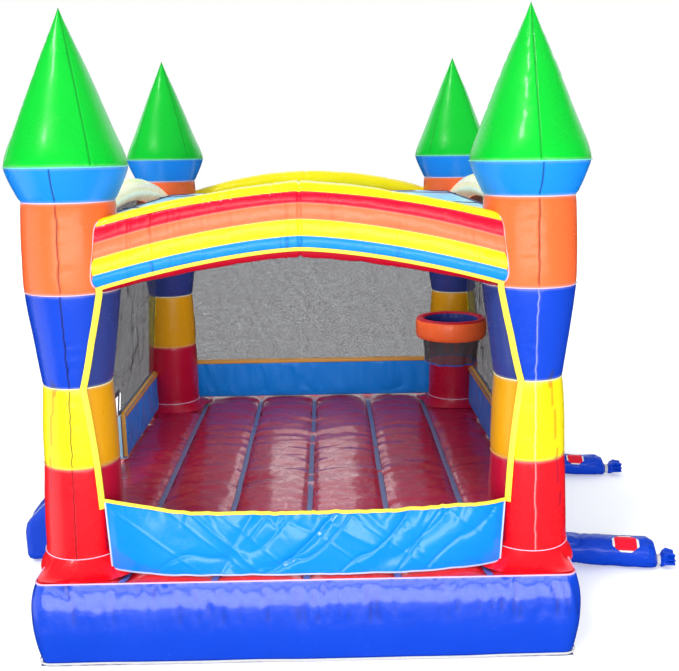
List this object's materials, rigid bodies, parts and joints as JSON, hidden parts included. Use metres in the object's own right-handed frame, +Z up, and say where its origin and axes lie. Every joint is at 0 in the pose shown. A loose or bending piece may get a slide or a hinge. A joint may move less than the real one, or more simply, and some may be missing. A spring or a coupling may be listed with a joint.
{
  "type": "inflatable bounce house",
  "caption": "Air-filled castle with four cone-topped corner towers, arches, net walls, a ribbed jump floor, a toss hoop and two tied blower sleeves.",
  "frame": {"origin": "middle of the base underside, on the ground", "axes": "+Z up, -Y towards the open front, -X towards the entrance, +X towards the blower sleeves"},
  "size_m": [5.6768, 4.8235, 4.3485],
  "materials": {
    "red": "glossy PVC-coated vinyl",
    "crimson": "glossy PVC-coated vinyl",
    "maroon": "glossy PVC-coated vinyl",
    "yellow": "glossy PVC-coated vinyl",
    "blue": "glossy PVC-coated vinyl",
    "navy": "glossy PVC-coated vinyl",
    "orange": "glossy PVC-coated vinyl",
    "azure": "glossy PVC-coated vinyl",
    "green": "glossy PVC-coated vinyl",
    "sky": "glossy PVC-coated vinyl",
    "net": "knotted polyester net",
    "webbing": "woven webbing",
    "metal": "nickel-plated",
    "white": "glossy PVC-coated vinyl"
  },
  "bodies": {
    "house": {"base_side_wall": "blue", "base_bottom_panel": "navy", "jump_floor": "maroon", "floor_seam_strip_1": "navy", "floor_seam_strip_2": "navy", "floor_seam_strip_3": "navy", "floor_seam_strip_4": "navy", "floor_seam_strip_5": "navy", "floor_baffles": "white", "tower_front_left_red": "red", "tower_front_left_yellow": "yellow", "tower_front_left_blue": "blue", "tower_front_left_orange": "orange", "tower_front_left_collar": "azure", "tower_front_left_cone": "green", "tower_front_right_red": "red", "tower_front_right_yellow": "yellow", "tower_front_right_blue": "blue", "tower_front_right_orange": "orange", "tower_front_right_collar": "azure", "tower_front_right_cone": "green", "tower_rear_left_red": "red", "tower_rear_left_yellow": "yellow", "tower_rear_left_blue": "blue", "tower_rear_left_orange": "orange", "tower_rear_left_collar": "azure", "tower_rear_left_cone": "green", "tower_rear_right_red": "red", "tower_rear_right_yellow": "yellow", "tower_rear_right_blue": "blue", "tower_rear_right_orange": "orange", "tower_rear_right_collar": "azure", "tower_rear_right_cone": "green", "front_arch_underside": "crimson", "front_arch_azure": "azure", "front_arch_yellow": "yellow", "front_arch_orange": "orange", "front_arch_red": "red", "front_arch_top": "yellow", "rear_arch": "yellow", "left_arch": "yellow", "right_arch": "yellow", "roof_panel": "sky", "low_wall_left": "azure", "low_wall_right": "azure", "low_wall_rear": "azure", "mesh_wall_left": "net", "mesh_wall_right": "net", "mesh_wall_rear": "net", "front_skirt": "azure", "hoop_ring": "orange", "hoop_net": "net", "entrance_step": "blue"},
    "entrance_door": {"entrance_door": "sky"},
    "blower_sleeve_front": {"blower_sleeve_front": "blue", "sleeve_tie_strap_front": "webbing"},
    "blower_sleeve_rear": {"blower_sleeve_rear": "blue", "sleeve_tie_strap_rear": "webbing"},
    "zip_cover_flap": {"zip_cover_flap": "blue"},
    "zip_slider": {"zip_slider": "metal"}
  },
  "joints": [
    {"name": "entrance_door_swing", "type": "hinge", "parent": "house", "child": "entrance_door", "pos_m": [-1.765, 0.1, 0.632], "axis": [0, 0, 1], "range_deg": [-82, 8]},
    {"name": "blower_sleeve_front_swing", "type": "hinge", "parent": "house", "child": "blower_sleeve_front", "pos_m": [1.885, -0.93, 0.15], "axis": [0, 0, 1], "range_deg": [-18, 18]},
    {"name": "blower_sleeve_rear_swing", "type": "hinge", "parent": "house", "child": "blower_sleeve_rear", "pos_m": [1.885, 1.15, 0.2], "axis": [0, 0, 1], "range_deg": [-20, 20]},
    {"name": "zip_cover_flap_lift", "type": "hinge", "parent": "house", "child": "zip_cover_flap", "pos_m": [0, 2.417, 0.355], "axis": [1, 0, 0], "range_deg": [0, 160]},
    {"name": "zip_slider_slide", "type": "slide", "parent": "house", "child": "zip_slider", "axis": [1, 0, 0], "range_m": [0, 0.545]}
  ]
}
